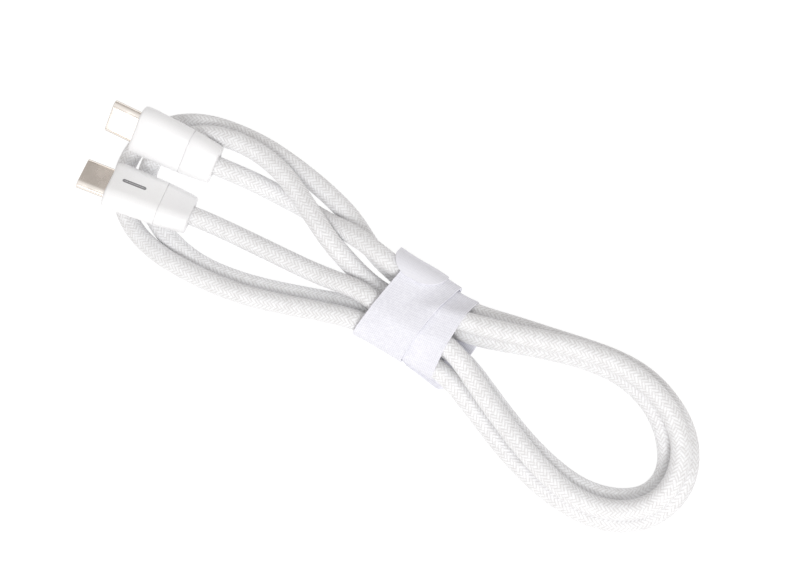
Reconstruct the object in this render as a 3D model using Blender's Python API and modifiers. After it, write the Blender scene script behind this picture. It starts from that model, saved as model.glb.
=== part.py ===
"""Braided charging cable wound as a hank and held by a hook-and-loop strap.

Lengths are millimetres in the constants and metres in the scene.
"""
import math

import bpy
import bmesh
import numpy as np
from mathutils import Matrix, Vector

MM = 0.001
MERGE = 0.00001
SHARP_DEG = 50
ALONG_X = Matrix(((0, 0, 1, 0), (1, 0, 0, 0), (0, 1, 0, 0), (0, 0, 0, 1)))

# ---- cable -----------------------------------------------------------------
CORD_D = 4.4
SLEEVE_WALL = 0.4
JACKET_D = 3.0
JACKET_WALL = 0.35
WIRE_D = 0.4
WIRE_RING = 0.6
WIRES = ("power_wire", "ground_wire", "config_wire", "data_plus_wire", "data_minus_wire")
CORD_PITCH = CORD_D + 0.3
STRAP_LIFT = 2.8
LIFT_FLAT = 9.0
LIFT_END = 26.0
TUBE_BEVEL = 2
WIRE_BEVEL = 0
PATH_STEP = 2.0
SETTLE_ROUNDS = 400
FIRM_ROUNDS = 60
MAX_TURN_DEG = 19.0
MAX_SPAN = 12.0
FIXED_ENDS = 4
PLUG_REACH = (-6.8, -3.0, 0.3, 2.2)
SHIFT = (6.445, 0.645, -0.1)

# ---- plug, in its own frame: x out of the mouth from the body's front face --
SHELL_W = 8.25
SHELL_T = 2.4
SHELL_OUT = 6.65
SHELL_IN = 4.0
SHELL_WALL = 0.3
BODY_W = 12.2
BODY_T = 6.3
FRONT_LEN = 12.6
SEAM = 0.3
OVAL_STEPS = 6
# Stations: x, width, thickness.
FRONT = ((0, 11.2, 5.3), (-0.5, 11.9, 6.0), (-1.2, BODY_W, BODY_T), (-FRONT_LEN, 11.4, 6.2))
FRONT_ROOM = ((-1.4, 8.9, 3.0), (-4.1, 8.9, 3.0), (-4.2, 10.6, 4.9), (-13.6, 10.4, 4.9))
MOUTH_CUT = (1.0, -2.0)
MOUTH_GAP = 0.3
COLLAR = ((0, 11.3, 6.2), (-5.6, 10.2, 6.0), (-6.6, 9.6, 5.9), (-7.1, 9.1, 5.7))
COLLAR_BORE = ((1, 7.2, 5.5), (-3.4, 7.2, 5.5), (-3.5, 5.1, 4.9), (-9, 5.1, 4.9))
# Boxes: size, centre.
INSULATOR = ((8.65, 6.4, 1.6), (0.675, 0, 0))
SLOT = ((8.1, 6.0, 1.0), (1.95, 0, 0))
BOARD_PARTS = {
    "paddle_card": (((8.0, 6.8, 0.6), (-8.3, 0, 0)), "board"),
    "marker_chip": (((2.0, 2.0, 0.7), (-7.4, 0.6, 0.8)), "chip"),
    "capacitor": (((1.0, 0.6, 0.5), (-10.2, -1.6, 0.7)), "ceramic"),
}
# Oval sleeves: outer and inner width and thickness, front x, rear x.
SLEEVES = {
    "shield_can": (((9.0, 3.6), (8.4, 3.0), -4.3, -12.0), "steel"),
    "inner_mould": (((10.3, 4.6), (9.6, 4.2), -4.3, -12.2), "mould"),
    "crimp_ferrule": (((5.7, 5.3), (5.1, 4.8), -13.4, -16.0), "steel"),
}
CONTACTS = 12
CONTACT_PITCH = 0.5
CONTACT_Z = 0.4
COMB_SIZE = (0.5, 5.8, 0.16)
COMB_X = -1.6
FINGER_SIZE = (6.4, 0.24, 0.12)
FINGER_X = 1.4
LATCH_SIZE = (7.2, 0.16, 0.5)
LATCH_ROOT = -1.3
LATCH_Y = 3.42
HOOK_SIZE = (0.6, 0.5, 0.5)
HOOK_BACK = 0.05
MARK_LEN = 5.8
MARK_W = 0.9
MARK_T = 0.24
MARK_X = -5.6
MARK_GAP = 0.4
MARK_CUT = 1.0
MARK_POCKET = 0.3
MARK_SINK = 0.03

# ---- strap -----------------------------------------------------------------
STRAP_W = 12.2
STRAP_T = 0.7
STRAP_GAP = 0.15
STRAP_SPAN = (-9.0, 11.0)
STRAP_REACH = CORD_D / 2 + 0.35
HULL_STEPS = 32
# Middle and slant of each turn: x at y = 0, and the change of x with y.
INNER_TURN = (4.0, 0.08)
OUTER_TURN = (-2.3, 0.22)
TAIL_SIZE = (STRAP_W, 16.0)
TAIL_ROUND = 2.0
TAIL_STEPS = 8
TAIL_TURN_DEG = -10.0
TAIL_MID = (7.4, -2.9, 0.1 + STRAP_T / 2)
TAB_T = 0.8
TAB_X = -3.4
TAB_REACH = STRAP_REACH + 2 * STRAP_T + STRAP_GAP + 0.25
TAB_ANGLES = (4, 21, 38, 55, 72, 89)
TAB_END = ((0.6, 0.0), (1.4, 1.0), (2.0, 3.0), (2.4, 6.2))

# Materials: name, colour, roughness, metal.
MATERIALS = {
    "braid": ("white_braid", (0.86, 0.86, 0.87), 0.7, 0.0),
    "jacket": ("white_jacket", (0.8, 0.8, 0.8), 0.5, 0.0),
    "power_wire": ("red_wire", (0.7, 0.06, 0.05), 0.4, 0.0),
    "ground_wire": ("black_wire", (0.04, 0.04, 0.04), 0.4, 0.0),
    "config_wire": ("blue_wire", (0.05, 0.15, 0.6), 0.4, 0.0),
    "data_plus_wire": ("green_wire", (0.05, 0.45, 0.12), 0.4, 0.0),
    "data_minus_wire": ("white_wire", (0.8, 0.8, 0.78), 0.4, 0.0),
    "steel": ("stainless", (0.62, 0.6, 0.58), 0.25, 1.0),
    "gold": ("gold_contact", (0.83, 0.62, 0.25), 0.25, 1.0),
    "insulator": ("black_insulator", (0.03, 0.03, 0.03), 0.5, 0.0),
    "board": ("green_board", (0.03, 0.25, 0.1), 0.5, 0.0),
    "chip": ("chip_black", (0.02, 0.02, 0.02), 0.4, 0.0),
    "ceramic": ("tan_ceramic", (0.5, 0.38, 0.25), 0.5, 0.0),
    "mould": ("inner_mould_white", (0.75, 0.75, 0.72), 0.6, 0.0),
    "mark": ("grey_mark", (0.25, 0.25, 0.26), 0.5, 0.0),
    "plastic": ("gloss_white", (0.88, 0.88, 0.88), 0.2, 0.0),
    "strap": ("strap_white", (0.84, 0.84, 0.88), 0.9, 0.0),
    "tab": ("hook_white", (0.84, 0.84, 0.87), 0.6, 0.0),
}

# Plug poses: body front centre, body rear centre, roll in degrees.
PLUG_A = ((-76.9, 9.7, 12.0), (-57.5, 10.4, 7.6), -36.0)
PLUG_B = ((-76.7, -4.5, 11.2), (-58.2, -2.4, 6.7), 33.0)

# Cable centre line from plug A to plug B, drawn turn by turn.
ROUTE = (
    (-53, 10.8, 6.3), (-48.5, 11.2, 4.7), (-44, 11.2, 3.2), (-39, 11.2, 2.4),
    (-34, 11.1, 2.3), (-29.5, 10.6, 3.1), (-24.5, 10.6, 5.4), (-19.5, 10.2, 7.1),
    (-14, 9.0, 7.2), (-8, 7.8, 7.0), (0, 7.0, 4.8), (8, 6.4, 2.6),
    (13, 6.9, 2.3), (20, 8.4, 2.3), (31, 10.4, 2.3), (39, 11.7, 2.3),
    (46, 12.2, 2.3), (52, 11.4, 2.3), (57, 9.3, 2.3), (61, 6.8, 2.3),
    (64.3, 3.4, 3.0), (66.8, -0.6, 4.2), (68.4, -5, 4.9), (68.2, -9.4, 4.4),
    (66.4, -13.8, 3.2), (63.5, -17.2, 2.3), (59, -19.8, 2.3), (53.5, -21, 2.3),
    (47.5, -20.9, 2.3), (41, -19.8, 2.3), (33, -17.2, 2.3), (25, -13.7, 2.3),
    (18, -10.4, 2.3), (12, -7.9, 2.5), (6, -6.9, 3.2), (0, -6.2, 4.6),
    (-7, -5.8, 6.2), (-12, -6.2, 6.4), (-19, -7.9, 6.4), (-28, -10.4, 6.4),
    (-37, -12.6, 6.4), (-46, -13.5, 6.3), (-54, -13.3, 5.6), (-62, -12.4, 3.8),
    (-69, -10.8, 2.5), (-74, -7.5, 2.3), (-77.3, -3.2, 2.3), (-78.6, 2, 2.3),
    (-78, 7.5, 2.3), (-75, 12.6, 2.3), (-70, 16.4, 2.3), (-63.5, 18.6, 2.3),
    (-57, 19.4, 2.3), (-50, 19.4, 2.3), (-43, 18.4, 2.3), (-35, 16.6, 2.3),
    (-27, 13.8, 2.3), (-20, 10.2, 2.3), (-14, 7.7, 2.3), (-8, 6.4, 2.3),
    (0, 3.6, 2.3), (7, 2.3, 2.3), (13, 2.7, 2.5), (20, 4.7, 4.2),
    (28, 7, 6.2), (37, 9.1, 6.4), (44, 9.8, 6.3), (50, 9.2, 6), (55, 7.5, 5.6),
    (59.4, 4.8, 4.8), (62.6, 1.6, 3.6), (64.7, -2.4, 2.6), (65.0, -6.6, 2.3),
    (63.2, -10.8, 2.3), (59.4, -13.8, 2.3), (54.5, -15.6, 2.3), (49, -16.3, 2.3),
    (42, -15.3, 2.3), (35, -13.3, 2.3), (28, -10.4, 2.3), (21, -6.9, 2.3),
    (15, -3.9, 2.3), (10, -2.6, 2.3), (0, -1.9, 2.3), (-8, -2.3, 2.3),
    (-15, -3.5, 2.3), (-22, -5.6, 2.3), (-30, -8.0, 2.3), (-38, -10.1, 2.3),
    (-46, -11.5, 2.3), (-53, -11.8, 2.3), (-59.5, -10.8, 2.3), (-65.5, -8, 2.3),
    (-70, -4.2, 2.3), (-73, 0.4, 2.3), (-73.7, 5.4, 2.4), (-71.7, 10, 3.2),
    (-67.8, 13.9, 4.6), (-62.6, 16.6, 5.8), (-56, 17.8, 6.5), (-49, 17.6, 6.9),
    (-42, 15.9, 7.2), (-35.4, 12.9, 7.6), (-30, 10.2, 8.2), (-25, 7.8, 7.8),
    (-20, 5.4, 5.6), (-15, 3.4, 3.4), (-9, 2.0, 2.4), (0, 2.5, 6.2),
    (8, 3.8, 6.6), (14, 5, 7.6), (20, 6.3, 9.6), (28, 8.4, 10.8),
    (36, 10.2, 10.9), (44, 11.1, 10.8), (51, 10.5, 10.6), (57, 8.5, 10.3),
    (61.5, 5.6, 9.8), (64.8, 2, 9.2), (66.6, -2.6, 9.3), (66.8, -7.4, 9.0),
    (65.2, -11.8, 7.9), (62, -15.2, 6.9), (57.5, -17.6, 6.4), (52, -18.7, 6.4),
    (46, -18.2, 6.5), (40, -16.4, 6.8), (33, -13.6, 6.9), (26, -10.2, 6.9),
    (19, -6.5, 6.9), (13.5, -3.3, 6.8), (8, -1.3, 6.6), (0, -2, 6.8),
    (-7, -0.6, 7), (-12, 0.4, 7.1), (-17, 0, 7), (-24, -0.8, 6.6),
    (-32, -1.2, 6.2), (-40, -1.4, 5.6), (-47, -1.6, 5.2), (-53.5, -1.9, 5.6),
)


def mm(*values):
    return Vector([v * MM for v in values])


def clear_scene():
    for obj in list(bpy.data.objects):
        bpy.data.objects.remove(obj, do_unlink=True)


def make_collection(name, hidden=False):
    coll = bpy.data.collections.new(name)
    bpy.context.scene.collection.children.link(coll)
    coll.hide_render = hidden
    return coll


def make_material(name, colour, rough, metal=0.0):
    mat = bpy.data.materials.new(name)
    mat.use_nodes = True
    shader = mat.node_tree.nodes["Principled BSDF"]
    shader.inputs["Base Color"].default_value = (*colour, 1.0)
    shader.inputs["Roughness"].default_value = rough
    shader.inputs["Metallic"].default_value = metal
    mat.diffuse_color = (*colour, 1.0)
    return mat


# ---- cable centre line -----------------------------------------------------
def smooth_path(points, step):
    """Centripetal spline through the points, resampled at an even step."""
    p = np.array(points, float)
    p = np.vstack([2 * p[0] - p[1], p, 2 * p[-1] - p[-2]])
    out = []
    for i in range(1, len(p) - 2):
        t = [0.0]
        for a, b in ((i - 1, i), (i, i + 1), (i + 1, i + 2)):
            t.append(t[-1] + max(np.linalg.norm(p[b] - p[a]), 1e-6) ** 0.5)
        count = max(2, int(np.linalg.norm(p[i + 1] - p[i]) / (step * 0.25)))
        for u in np.linspace(t[1], t[2], count, endpoint=False):
            a1 = blend(p[i - 1], p[i], t[0], t[1], u)
            a2 = blend(p[i], p[i + 1], t[1], t[2], u)
            a3 = blend(p[i + 1], p[i + 2], t[2], t[3], u)
            b1 = blend(a1, a2, t[0], t[2], u)
            b2 = blend(a2, a3, t[1], t[3], u)
            out.append(blend(b1, b2, t[1], t[2], u))
    out.append(p[-2])
    return resample(np.array(out), step)


def blend(a, b, ta, tb, t):
    return a * (tb - t) / (tb - ta) + b * (t - ta) / (tb - ta)


def resample(path, step):
    length = np.concatenate([[0], np.cumsum(np.linalg.norm(np.diff(path, axis=0), axis=1))])
    count = max(2, int(round(length[-1] / step)) + 1)
    marks = np.linspace(0, length[-1], count)
    return np.stack([np.interp(marks, length, path[:, k]) for k in range(3)], axis=1)


def strap_rise(x):
    """Height of the strap layers under the cable at station x."""
    t = np.clip((LIFT_END - np.abs(x)) / (LIFT_END - LIFT_FLAT), 0, 1)
    return STRAP_LIFT * t * t * (3 - 2 * t)


def settle(path):
    """Push strands that lie closer than the pitch apart, spreading each push along."""
    start = path.copy()
    count = len(path)
    index = np.arange(count)
    apart = np.abs(index[:, None] - index[None, :]) > 6
    free = np.ones(count)
    free[:FIXED_ENDS] = 0
    free[-FIXED_ENDS:] = 0
    for turn in range(SETTLE_ROUNDS):
        delta = path[:, None, :] - path[None, :, :]
        dist = np.linalg.norm(delta, axis=2)
        near = apart & (dist < CORD_PITCH)
        push = np.where(near, (CORD_PITCH - dist) / np.maximum(dist, 1e-6), 0)
        move = (delta * push[:, :, None]).sum(axis=1)
        hits = np.maximum(near.sum(axis=1), 1)
        path = path + (0.45 * move / hits[:, None]) * free[:, None]
        if turn < SETTLE_ROUNDS - FIRM_ROUNDS:
            offset = path - start
            soft = np.zeros_like(path)
            soft[1:-1] = 0.5 * (offset[:-2] + offset[2:]) - offset[1:-1]
            path = path + (0.5 * soft - 0.004 * offset) * free[:, None]
        low = CORD_D / 2 + 0.1 + strap_rise(path[:, 0])
        path[:, 2] = np.maximum(path[:, 2], low)
    return path


def thin_out(path, max_turn, max_gap):
    """Indices of the points that the bends need."""
    kept = [0]
    step = np.diff(path, axis=0)
    step /= np.linalg.norm(step, axis=1)[:, None]
    turn = gone = 0.0
    for i in range(1, len(path) - 1):
        turn += math.degrees(math.acos(min(1, float(step[i - 1] @ step[i]))))
        gone += float(np.linalg.norm(path[i] - path[i - 1]))
        near_end = i in (2, 4, 6) or len(path) - 1 - i in (2, 4, 6)
        if turn > max_turn or gone > max_gap or near_end:
            kept.append(i)
            turn = gone = 0.0
    kept.append(len(path) - 1)
    return kept


def plug_exit(plug, reach):
    """Points just inside and just behind the plug's rear face."""
    front, rear = np.array(plug[0], float), np.array(plug[1], float)
    axis = (rear - front) / np.linalg.norm(rear - front)
    return [rear + axis * d for d in reach]


def cable_path():
    head = plug_exit(PLUG_A, PLUG_REACH)
    tail = plug_exit(PLUG_B, PLUG_REACH[::-1])
    lifted = [(x, y, z + float(strap_rise(x))) for x, y, z in ROUTE]
    return settle(smooth_path(head + lifted + tail, PATH_STEP))


def frames(path):
    """Two cross directions carried along the path without twist."""
    tangent = np.gradient(path, axis=0)
    tangent /= np.linalg.norm(tangent, axis=1)[:, None]
    side = np.cross(tangent[0], (0, 0, 1.0))
    sides = []
    for t in tangent:
        side = side - t * (side @ t)
        side = side / np.linalg.norm(side)
        sides.append(side)
    sides = np.array(sides)
    return sides, np.cross(tangent, sides)


# ---- meshes from curves and boxes ------------------------------------------
def cleaned(mesh):
    work = bmesh.new()
    work.from_mesh(mesh)
    bmesh.ops.remove_doubles(work, verts=work.verts, dist=MERGE)
    bmesh.ops.recalc_face_normals(work, faces=work.faces)
    work.to_mesh(mesh)
    work.free()
    return mesh


def mesh_of(curve):
    """The solid or surface that a curve object describes."""
    holder = bpy.data.objects.new(curve.name, curve)
    bpy.context.scene.collection.objects.link(holder)
    graph = bpy.context.evaluated_depsgraph_get()
    mesh = bpy.data.meshes.new_from_object(holder.evaluated_get(graph))
    bpy.data.objects.remove(holder, do_unlink=True)
    return cleaned(mesh)


def add_spline(curve, points, cyclic):
    spline = curve.splines.new("POLY")
    spline.points.add(len(points) - 1)
    for point, place in zip(spline.points, points):
        point.co = (*mm(*place), 1.0)
    spline.use_cyclic_u = cyclic


def tube_mesh(name, path, radius, bevel, caps=True):
    curve = bpy.data.curves.new(name, "CURVE")
    curve.dimensions = "3D"
    curve.bevel_depth = radius * MM
    curve.bevel_resolution = bevel
    curve.use_fill_caps = caps
    curve.twist_mode = "MINIMUM"
    add_spline(curve, path, cyclic=False)
    return mesh_of(curve)


def outline_mesh(name, outlines, length):
    """Flat outline, with any further ones as its holes, given a length along local Z."""
    curve = bpy.data.curves.new(name, "CURVE")
    curve.dimensions = "2D"
    curve.fill_mode = "BOTH"
    curve.extrude = length * MM / 2
    for outline in outlines:
        add_spline(curve, [(u, v, 0.0) for u, v in outline], cyclic=True)
    return mesh_of(curve)


def box(size, centre):
    mesh = bpy.data.meshes.new("box")
    work = bmesh.new()
    bmesh.ops.create_cube(work, size=1.0)
    for v in work.verts:
        v.co = Vector([(v.co[k] * size[k] + centre[k]) * MM for k in range(3)])
    work.to_mesh(mesh)
    work.free()
    return mesh


def loft(rings):
    """Join unlike rings of equal point count into a closed solid."""
    mesh = bpy.data.meshes.new("loft")
    work = bmesh.new()
    rows = [[work.verts.new(mm(*p)) for p in ring] for ring in rings]
    for a, b in zip(rows, rows[1:]):
        for k in range(len(a)):
            n = (k + 1) % len(a)
            work.faces.new((a[k], a[n], b[n], b[k]))
    work.faces.new(rows[0][::-1])
    work.faces.new(rows[-1])
    work.to_mesh(mesh)
    work.free()
    return cleaned(mesh)


def apply_modifiers(obj):
    graph = bpy.context.evaluated_depsgraph_get()
    mesh = bpy.data.meshes.new_from_object(obj.evaluated_get(graph))
    obj.modifiers.clear()
    obj.data = cleaned(mesh)


def boolean(obj, operation, tool):
    step = obj.modifiers.new(operation.lower(), "BOOLEAN")
    step.operation = operation
    step.solver = "EXACT"
    step.object = tool
    apply_modifiers(obj)


def fuse(meshes):
    """Union of overlapping simple solids."""
    base = bpy.data.objects.new("fuse", meshes[0])
    bpy.context.scene.collection.objects.link(base)
    for extra in meshes[1:]:
        tool = bpy.data.objects.new("fuse_tool", extra)
        bpy.context.scene.collection.objects.link(tool)
        boolean(base, "UNION", tool)
        bpy.data.objects.remove(tool, do_unlink=True)
    mesh = base.data
    bpy.data.objects.remove(base, do_unlink=True)
    return mesh


def add_object(name, mesh, mat, coll, pivot=None):
    mesh.name = name
    mesh.materials.clear()
    mesh.materials.append(mat)
    obj = bpy.data.objects.new(name, mesh)
    if pivot is not None:
        mesh.transform(Matrix.Translation(-pivot))
        obj.location = pivot
    coll.objects.link(obj)
    return obj


def shade(obj):
    obj.data.shade_smooth()
    obj.data.set_sharp_from_angle(angle=math.radians(SHARP_DEG))


# ---- cable -----------------------------------------------------------------
def hollow_tube(name, path, outer, wall, mat, coll):
    mesh = tube_mesh(name, path, outer, TUBE_BEVEL, caps=False)
    obj = add_object(name, mesh, mat, coll)
    shell = obj.modifiers.new("wall", "SOLIDIFY")
    shell.thickness = wall * MM
    shell.offset = -1.0
    shell.use_even_offset = True
    shell.use_rim = True
    apply_modifiers(obj)


def build_cable(coll, mats):
    path = cable_path()
    kept = thin_out(path, MAX_TURN_DEG, MAX_SPAN)
    hollow_tube("braided_sleeve", path[kept], CORD_D / 2, SLEEVE_WALL, mats["braid"], coll)
    hollow_tube("inner_jacket", path[kept], JACKET_D / 2, JACKET_WALL, mats["jacket"], coll)
    side, up = frames(path)
    for k, name in enumerate(WIRES):
        angle = 2 * math.pi * k / len(WIRES)
        offset = WIRE_RING * (math.cos(angle) * side + math.sin(angle) * up)
        mesh = tube_mesh(name, (path + offset)[kept], WIRE_D / 2, WIRE_BEVEL)
        add_object(name, mesh, mats[name], coll)


# ---- plug ------------------------------------------------------------------
def oval(width, thick):
    """Flat-sided oval as a list of (y, z) points."""
    r = thick / 2
    flat = (width - thick) / 2
    points = []
    for end in (1, -1):
        for k in range(OVAL_STEPS + 1):
            a = -math.pi / 2 + math.pi * k / OVAL_STEPS
            points.append((end * (flat + r * math.cos(a)), end * r * math.sin(a)))
    return points


def oval_tube(outer, inner, x0, x1):
    """Oval sleeve open at both ends."""
    mesh = outline_mesh("oval_tube", (oval(*outer), oval(*inner)), abs(x1 - x0))
    mesh.transform(Matrix.Translation(mm((x0 + x1) / 2, 0, 0)) @ ALONG_X)
    return mesh


def oval_solid(stations):
    """Tapered oval body through (x, width, thickness) stations."""
    return loft([[(x, y, z) for y, z in oval(w, t)] for x, w, t in stations])


def shifted(stations, x):
    return [(x + dx, w, t) for dx, w, t in stations]


def plug_matrix(plug):
    """Place of a plug: +X out of its mouth, origin at the body's front face."""
    front, rear = Vector(plug[0]), Vector(plug[1])
    x = (front - rear).normalized()
    y = Vector((0, 0, 1)).cross(x).normalized()
    turn = Matrix((x, y, x.cross(y))).transposed().to_4x4()
    roll = Matrix.Rotation(math.radians(plug[2]), 4, "X")
    return Matrix.Translation(front * MM) @ turn @ roll


def contact_row(sign):
    """Twelve spring fingers joined by the strip at the back of the slot."""
    parts = [box(COMB_SIZE, (COMB_X, 0, sign * CONTACT_Z))]
    for k in range(CONTACTS):
        y = (k - (CONTACTS - 1) / 2) * CONTACT_PITCH
        parts.append(box(FINGER_SIZE, (FINGER_X, y, sign * CONTACT_Z)))
    return fuse(parts)


def latch_arm(sign):
    """Side spring with an inward hook at its front end."""
    arm = box(LATCH_SIZE, (LATCH_ROOT + LATCH_SIZE[0] / 2, sign * LATCH_Y, 0))
    hook_y = LATCH_Y + (LATCH_SIZE[1] - HOOK_SIZE[1]) / 2
    hook_x = LATCH_ROOT + LATCH_SIZE[0] - HOOK_SIZE[0] / 2 - HOOK_BACK
    return fuse([arm, box(HOOK_SIZE, (hook_x, sign * hook_y, 0))])


class PlugBuilder:
    """Adds pieces drawn in the plug's own frame at the plug's place."""

    def __init__(self, tag, plug, coll, cutters, mats):
        self.tag = tag
        self.place = plug_matrix(plug)
        self.coll = coll
        self.cutters = cutters
        self.mats = mats

    def put(self, name, mesh, mat, pivot=None):
        mesh.transform(self.place)
        spot = None if pivot is None else self.place @ mm(*pivot)
        return add_object(f"{self.tag}_{name}", mesh, self.mats[mat], self.coll, spot)

    def put_cut(self, name, mesh, mat, *tools):
        obj = self.put(name, mesh, mat)
        for tool in tools:
            tool.transform(self.place)
            cutter = bpy.data.objects.new(obj.name + "_cutter", tool)
            cutter.hide_render = True
            cutter.display_type = "WIRE"
            self.cutters.objects.link(cutter)
            boolean(obj, "DIFFERENCE", cutter)

    def insides(self):
        """Shell, contacts, latches and the small board behind them."""
        inner = (SHELL_W - 2 * SHELL_WALL, SHELL_T - 2 * SHELL_WALL)
        shell = oval_tube((SHELL_W, SHELL_T), inner, SHELL_OUT, -SHELL_IN)
        self.put("shell", shell, "steel")
        self.put_cut("insulator", box(*INSULATOR), "insulator", box(*SLOT))
        self.put("upper_contacts", contact_row(1), "gold")
        self.put("lower_contacts", contact_row(-1), "gold")
        for sign, side in ((1, "left"), (-1, "right")):
            root = (LATCH_ROOT, sign * LATCH_Y, 0)
            self.put(f"{side}_latch", latch_arm(sign), "steel", root)
        for name, (shape, mat) in BOARD_PARTS.items():
            self.put(name, box(*shape), mat)
        for name, (shape, mat) in SLEEVES.items():
            self.put(name, oval_tube(*shape), mat)

    def housings(self, marked):
        """Front housing and rear collar with the thin seam between them."""
        mouth = (SHELL_W + MOUTH_GAP, SHELL_T + MOUTH_GAP)
        tools = [oval_solid(FRONT_ROOM), oval_solid([(x, *mouth) for x in MOUTH_CUT])]
        if marked:
            size = (MARK_LEN + MARK_GAP, MARK_W + MARK_GAP, MARK_CUT)
            top = BODY_T / 2
            tools.append(box(size, (MARK_X, 0, top - MARK_POCKET + MARK_CUT / 2)))
            inlay = (MARK_X, 0, top - MARK_SINK - MARK_T / 2)
            self.put("mark_inlay", box((MARK_LEN, MARK_W, MARK_T), inlay), "mark")
        self.put_cut("front_housing", oval_solid(FRONT), "plastic", *tools)
        x = -FRONT_LEN - SEAM
        bore = oval_solid(shifted(COLLAR_BORE, x))
        self.put_cut("rear_collar", oval_solid(shifted(COLLAR, x)), "plastic", bore)


# ---- strap -----------------------------------------------------------------
def strap_centres():
    """Centres of the strands under the strap, as (y, z) rows."""
    path = cable_path()
    under = (path[:, 0] > STRAP_SPAN[0]) & (path[:, 0] < STRAP_SPAN[1])
    return path[under][:, 1:]


def hull_point(centres, angle, reach):
    """Point of the tight loop round the strands whose normal has this angle."""
    normal = np.array((math.cos(angle), math.sin(angle)))
    return centres[np.argmax(centres @ normal)] + reach * normal


def loop_outline(centres, reach):
    angles = [2 * math.pi * k / HULL_STEPS for k in range(HULL_STEPS)]
    return [tuple(hull_point(centres, a, reach)) for a in angles]


def band(name, centres, reach, turn, mat, coll):
    """One closed turn of the strap, slanting across the bundle."""
    outlines = (loop_outline(centres, reach + STRAP_T), loop_outline(centres, reach))
    mesh = outline_mesh(name, outlines, STRAP_W)
    x_mid, slant = turn
    lean = Matrix.Identity(4)
    lean[0][1] = slant
    mesh.transform(Matrix.Translation(mm(x_mid, 0, 0)) @ lean @ ALONG_X)
    add_object(name, mesh, mat, coll)


def build_tail(coll, mats):
    """Flat free end of the strap under the bundle, rounded towards -Y."""
    half, back = TAIL_SIZE[0] / 2, TAIL_SIZE[1] / 2
    points = [(-half, back), (half, back)]
    for k in range(TAIL_STEPS + 1):
        a = math.pi * k / TAIL_STEPS
        points.append((half * math.cos(a), TAIL_ROUND * (1 - math.sin(a)) - back))
    mesh = outline_mesh("strap_tail", (points,), STRAP_T)
    turn = Matrix.Rotation(math.radians(TAIL_TURN_DEG), 4, "Z")
    mesh.transform(Matrix.Translation(mm(*TAIL_MID)) @ turn)
    add_object("strap_tail", mesh, mats["tab"], coll)


def build_tab(centres, coll, mats):
    """Curved end tab, from its root behind the bundle up over the top."""
    stations = [(0.0, a, STRAP_W) for a in TAB_ANGLES]
    stations += [(run, TAB_ANGLES[-1], STRAP_W - less) for run, less in TAB_END]
    rings = []
    for run, degrees, width in stations:
        angle = math.radians(degrees)
        low = hull_point(centres, angle, TAB_REACH)
        high = hull_point(centres, angle, TAB_REACH + TAB_T)
        left, right = TAB_X - width / 2, TAB_X + width / 2
        ring = ((left, low), (right, low), (right, high), (left, high))
        rings.append([(x, p[0] - run, p[1]) for x, p in ring])
    pivot = mm(TAB_X, rings[0][0][1], rings[0][0][2])
    add_object("strap_tab", loft(rings), mats["tab"], coll, pivot)


def build_strap(coll, mats):
    centres = strap_centres()
    outer_reach = STRAP_REACH + STRAP_T + STRAP_GAP
    band("strap_inner_turn", centres, STRAP_REACH, INNER_TURN, mats["strap"], coll)
    band("strap_outer_turn", centres, outer_reach, OUTER_TURN, mats["strap"], coll)
    build_tab(centres, coll, mats)
    build_tail(coll, mats)


def main():
    clear_scene()
    coll = make_collection("charging_cable")
    cutters = make_collection("cutters", hidden=True)
    mats = {key: make_material(*facts) for key, facts in MATERIALS.items()}
    build_cable(coll, mats)
    for tag, plug, marked in (("plug_a", PLUG_A, False), ("plug_b", PLUG_B, True)):
        builder = PlugBuilder(tag, plug, coll, cutters, mats)
        builder.insides()
        builder.housings(marked)
    build_strap(coll, mats)
    for obj in list(coll.objects) + list(cutters.objects):
        obj.location += mm(*SHIFT)
    for obj in coll.objects:
        shade(obj)


main()
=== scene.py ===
"""Looks of the braided charging cable: woven cord, strap, plugs, floor, light and camera.

Lengths are millimetres in the constants and metres in the scene.
"""

import math

import bmesh
import bpy
import numpy as np
from mathutils import Matrix, Vector


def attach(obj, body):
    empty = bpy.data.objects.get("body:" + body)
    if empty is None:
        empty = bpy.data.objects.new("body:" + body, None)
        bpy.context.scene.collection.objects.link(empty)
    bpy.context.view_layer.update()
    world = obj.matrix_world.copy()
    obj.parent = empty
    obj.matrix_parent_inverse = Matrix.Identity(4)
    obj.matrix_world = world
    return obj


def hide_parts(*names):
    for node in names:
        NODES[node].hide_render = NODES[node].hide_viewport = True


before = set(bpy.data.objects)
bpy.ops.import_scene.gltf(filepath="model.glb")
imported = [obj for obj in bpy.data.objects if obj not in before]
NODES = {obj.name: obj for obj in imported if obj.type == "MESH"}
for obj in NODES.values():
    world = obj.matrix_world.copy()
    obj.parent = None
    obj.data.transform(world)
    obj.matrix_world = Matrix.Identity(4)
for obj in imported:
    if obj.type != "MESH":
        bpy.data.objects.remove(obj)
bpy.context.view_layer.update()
BODY = "cable_and_strap"
FLAP = "strap_tab_flap"
MM = 0.001

# ---- camera, light and floor -----------------------------------------------
CAMERA_ELEVATION, CAMERA_AZIMUTH, CAMERA_ROLL = 78, -12, 27
CAMERA_AIM = np.array((-8.65, 5.3, 5.0))
CAMERA_AWAY = 0.42
CAMERA_LENS, CAMERA_SENSOR, CAMERA_NEAR = 85.5, 36.0, 0.01
KEY_PLACE, KEY_SIZE, KEY_POWER = (0.372, -0.301, 0.762), (0.25, 0.25), 3.6
FRONT_PLACE, FRONT_SIZE, FRONT_POWER = (0.045, -0.827, 0.34), (0.6, 0.4), 1.2
SKY_LOW, SKY_HIGH, SKY_STRENGTH = (0.24, 0.20, 0.17, 1), (1.0, 1.0, 1.0, 1), 0.9
FLOOR_EDGE, FLOOR_DROP, FLOOR_GLOW = 3.0, 0.0002, 0.88

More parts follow.
